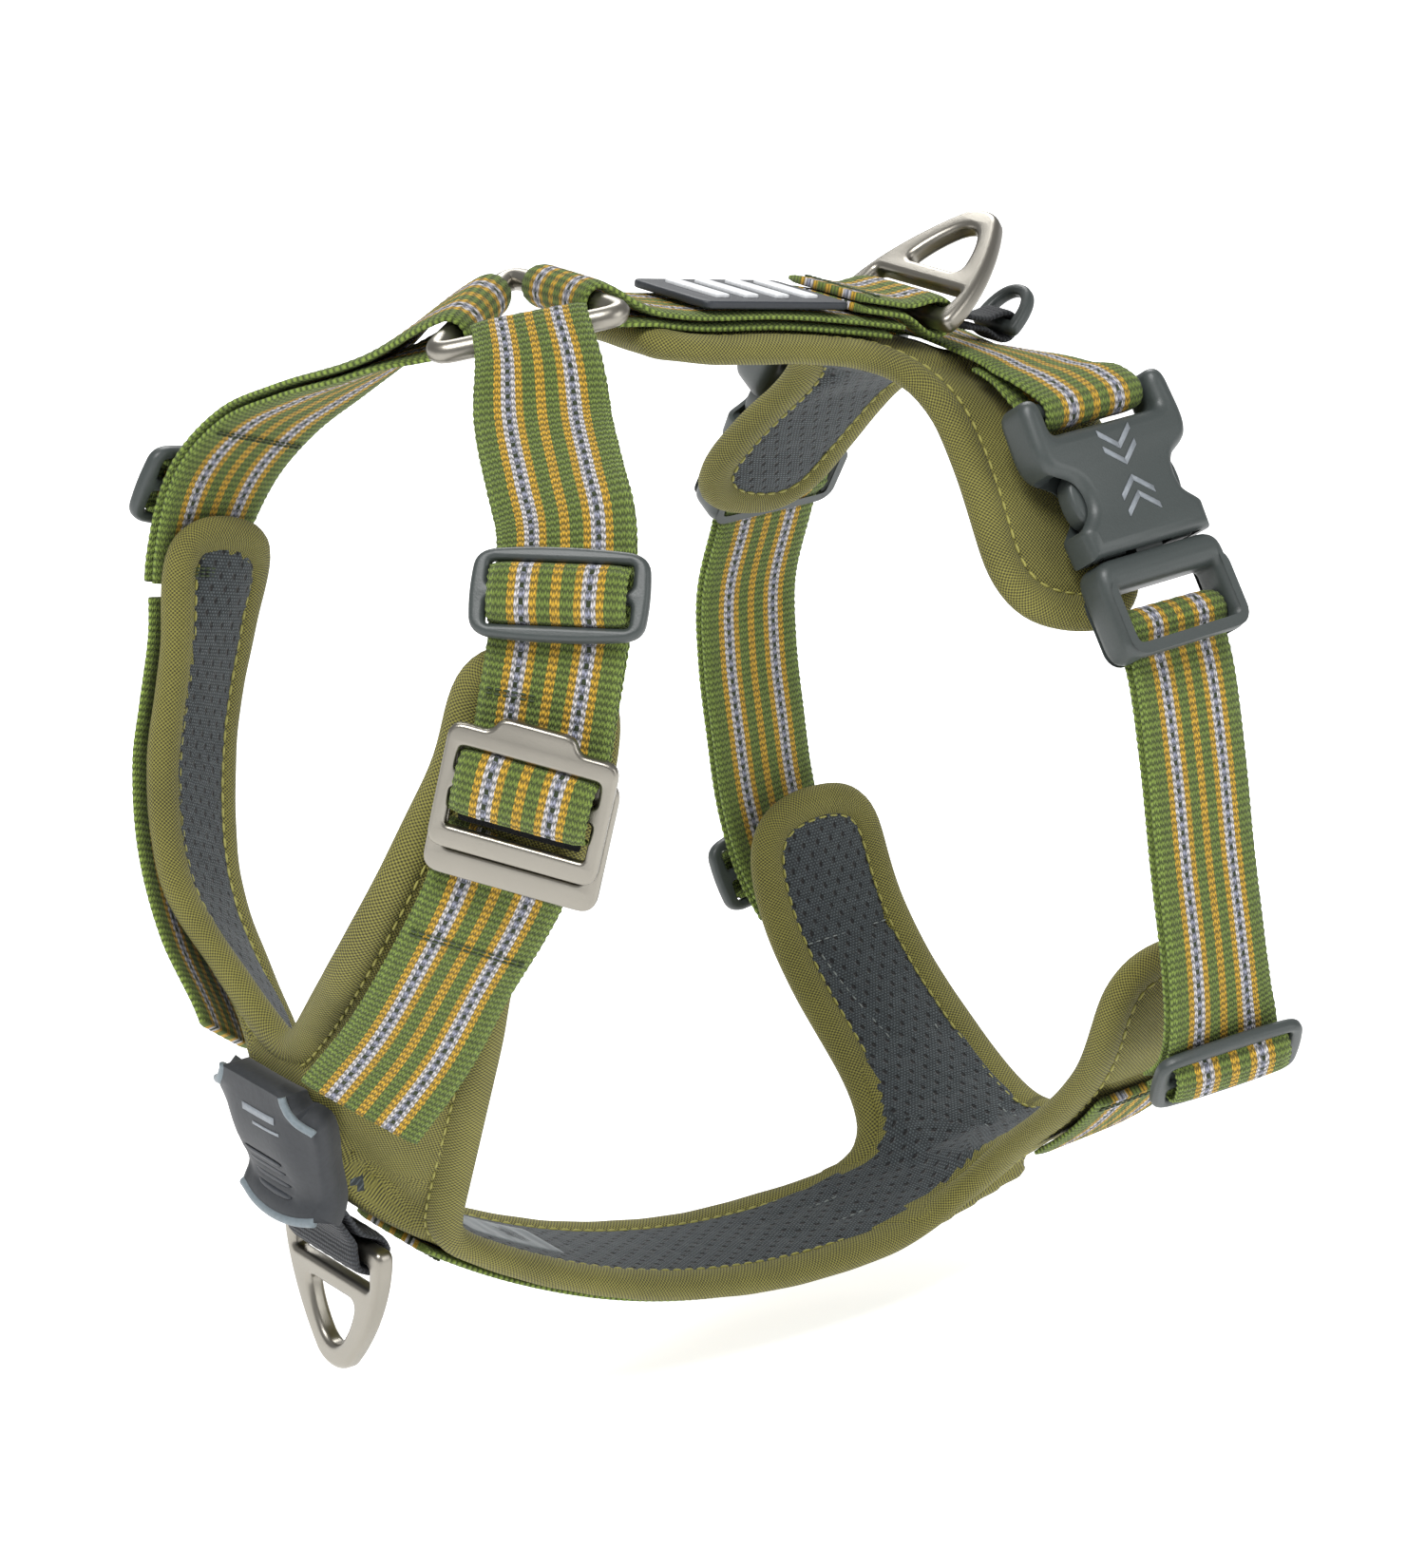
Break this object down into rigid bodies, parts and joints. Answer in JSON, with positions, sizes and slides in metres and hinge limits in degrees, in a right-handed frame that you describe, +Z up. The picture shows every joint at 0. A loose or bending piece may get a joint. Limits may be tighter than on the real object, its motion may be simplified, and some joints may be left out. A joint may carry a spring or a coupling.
{
  "type": "dog harness",
  "caption": "Dog harness of striped webbing on padded chest and back pieces, with metal leash rings at chest and back, side-release buckles and slide adjusters.",
  "frame": {"origin": "on the top of the back webbing, above the dog's spine and between its shoulders", "axes": "+X to the dog's left, -Y to its chest and head, +Z up from its belly to its back"},
  "size_m": [0.1655, 0.2044, 0.2204],
  "materials": {
    "olive_fabric": "woven",
    "striped_webbing": "woven",
    "slate_plastic": "moulded satin",
    "satin_nickel": "satin",
    "charcoal_patch": "matte",
    "black_webbing": "ribbed",
    "black_rubber": "matte",
    "label": "satin"
  },
  "bodies": {
    "harness": {"back_pad": "olive_fabric", "front_pad": "olive_fabric", "withers_ring": "satin_nickel", "back_webbing": "striped_webbing", "back_patch": "black_rubber", "rear_ring_loop": "striped_webbing", "light_loop_tab": "black_webbing", "buckle_female_left": "slate_plastic", "buckle_female_right": "slate_plastic", "girth_webbing_left": "striped_webbing", "girth_webbing_right": "striped_webbing", "girth_anchor_left": "striped_webbing", "girth_anchor_right": "striped_webbing", "belly_webbing": "striped_webbing", "chest_patch": "charcoal_patch", "front_ring_loop": "black_webbing", "size_label": "label", "neck_strap_left": "striped_webbing", "neck_strap_right": "striped_webbing", "neck_webbing_left": "striped_webbing", "neck_webbing_right": "striped_webbing", "neck_buckle_back_plate": "satin_nickel"},
    "rear_leash_ring": {"rear_leash_ring": "satin_nickel"},
    "front_leash_ring": {"front_leash_ring": "satin_nickel"},
    "light_loop": {"light_loop": "slate_plastic"},
    "buckle_male_left": {"buckle_male_left": "slate_plastic", "girth_strap_left": "striped_webbing"},
    "buckle_prong_front_left": {"buckle_prong_front_left": "slate_plastic"},
    "buckle_prong_rear_left": {"buckle_prong_rear_left": "slate_plastic"},
    "buckle_male_right": {"buckle_male_right": "slate_plastic", "girth_strap_right": "striped_webbing"},
    "buckle_prong_front_right": {"buckle_prong_front_right": "slate_plastic"},
    "buckle_prong_rear_right": {"buckle_prong_rear_right": "slate_plastic"},
    "girth_adjuster_left": {"girth_adjuster_left": "slate_plastic", "girth_adjuster_webbing_left": "striped_webbing"},
    "girth_adjuster_right": {"girth_adjuster_right": "slate_plastic", "girth_adjuster_webbing_right": "striped_webbing"},
    "neck_adjuster_left": {"neck_adjuster_left": "slate_plastic", "neck_adjuster_webbing_left": "striped_webbing"},
    "neck_adjuster_right": {"neck_adjuster_right": "slate_plastic", "neck_adjuster_webbing_right": "striped_webbing"},
    "neck_release_plate": {"neck_buckle_front_plate": "satin_nickel", "neck_buckle_webbing": "striped_webbing"}
  },
  "joints": [
    {"name": "rear_leash_ring_swing", "type": "hinge", "parent": "harness", "child": "rear_leash_ring", "pos_m": [0, 0.0308, -0.0052], "axis": [1, 0, 0], "range_deg": [-20, 80]},
    {"name": "front_leash_ring_swing", "type": "hinge", "parent": "harness", "child": "front_leash_ring", "pos_m": [0, -0.1085, -0.1715], "axis": [1, 0, 0], "range_deg": [-80, 45]},
    {"name": "light_loop_swing", "type": "hinge", "parent": "harness", "child": "light_loop", "pos_m": [0, 0.0565, -0.0125], "axis": [1, 0, 0], "range_deg": [-25, 45]},
    {"name": "buckle_release_left", "type": "slide", "parent": "harness", "child": "buckle_male_left", "axis": [0.5401, 0.05, -0.8401], "range_m": [0, 0.018], "deforming": ["girth_strap_left"]},
    {"name": "prong_squeeze_front_left", "type": "hinge", "parent": "buckle_male_left", "child": "buckle_prong_front_left", "pos_m": [0.05658, 0.03993, -0.04503], "axis": [-0.8412, 0, -0.5408], "range_deg": [0, 11]},
    {"name": "prong_squeeze_rear_left", "type": "hinge", "parent": "buckle_male_left", "child": "buckle_prong_rear_left", "pos_m": [0.0562, 0.05392, -0.04444], "axis": [0.8412, 0, 0.5408], "range_deg": [0, 11]},
    {"name": "buckle_release_right", "type": "slide", "parent": "harness", "child": "buckle_male_right", "axis": [-0.5401, 0.05, -0.8401], "range_m": [0, 0.018], "deforming": ["girth_strap_right"]},
    {"name": "prong_squeeze_front_right", "type": "hinge", "parent": "buckle_male_right", "child": "buckle_prong_front_right", "pos_m": [-0.05658, 0.03993, -0.04503], "axis": [-0.8412, 0, 0.5408], "range_deg": [0, 11]},
    {"name": "prong_squeeze_rear_right", "type": "hinge", "parent": "buckle_male_right", "child": "buckle_prong_rear_right", "pos_m": [-0.0562, 0.05392, -0.04444], "axis": [0.8412, 0, -0.5408], "range_deg": [0, 11]},
    {"name": "girth_adjuster_left_slide", "type": "slide", "parent": "harness", "child": "girth_adjuster_left", "axis": [0.4852, -0.3, 0.8213], "range_m": [-0.003, 0.005]},
    {"name": "girth_adjuster_right_slide", "type": "slide", "parent": "harness", "child": "girth_adjuster_right", "axis": [-0.2992, -0.2014, 0.9327], "range_m": [-0.003, 0.005]},
    {"name": "neck_adjuster_left_slide", "type": "slide", "parent": "harness", "child": "neck_adjuster_left", "axis": [-0.3713, 0.3864, 0.8443], "range_m": [-0.005, 0.005]},
    {"name": "neck_adjuster_right_slide", "type": "slide", "parent": "harness", "child": "neck_adjuster_right", "axis": [0.2667, 0.3022, 0.9152], "range_m": [-0.005, 0.005]},
    {"name": "neck_buckle_release", "type": "hinge", "parent": "harness", "child": "neck_release_plate", "pos_m": [0.0642, -0.10401, -0.05408], "axis": [-0.7486, -0.6309, 0.2039], "range_deg": [0, 32]}
  ],
  "couplings": [
    {"joint": "prong_squeeze_front_left", "follows": "buckle_release_left", "rad_per_m": 9},
    {"joint": "prong_squeeze_rear_left", "follows": "buckle_release_left", "rad_per_m": 9},
    {"joint": "prong_squeeze_front_right", "follows": "buckle_release_right", "rad_per_m": 9},
    {"joint": "prong_squeeze_rear_right", "follows": "buckle_release_right", "rad_per_m": 9}
  ]
}
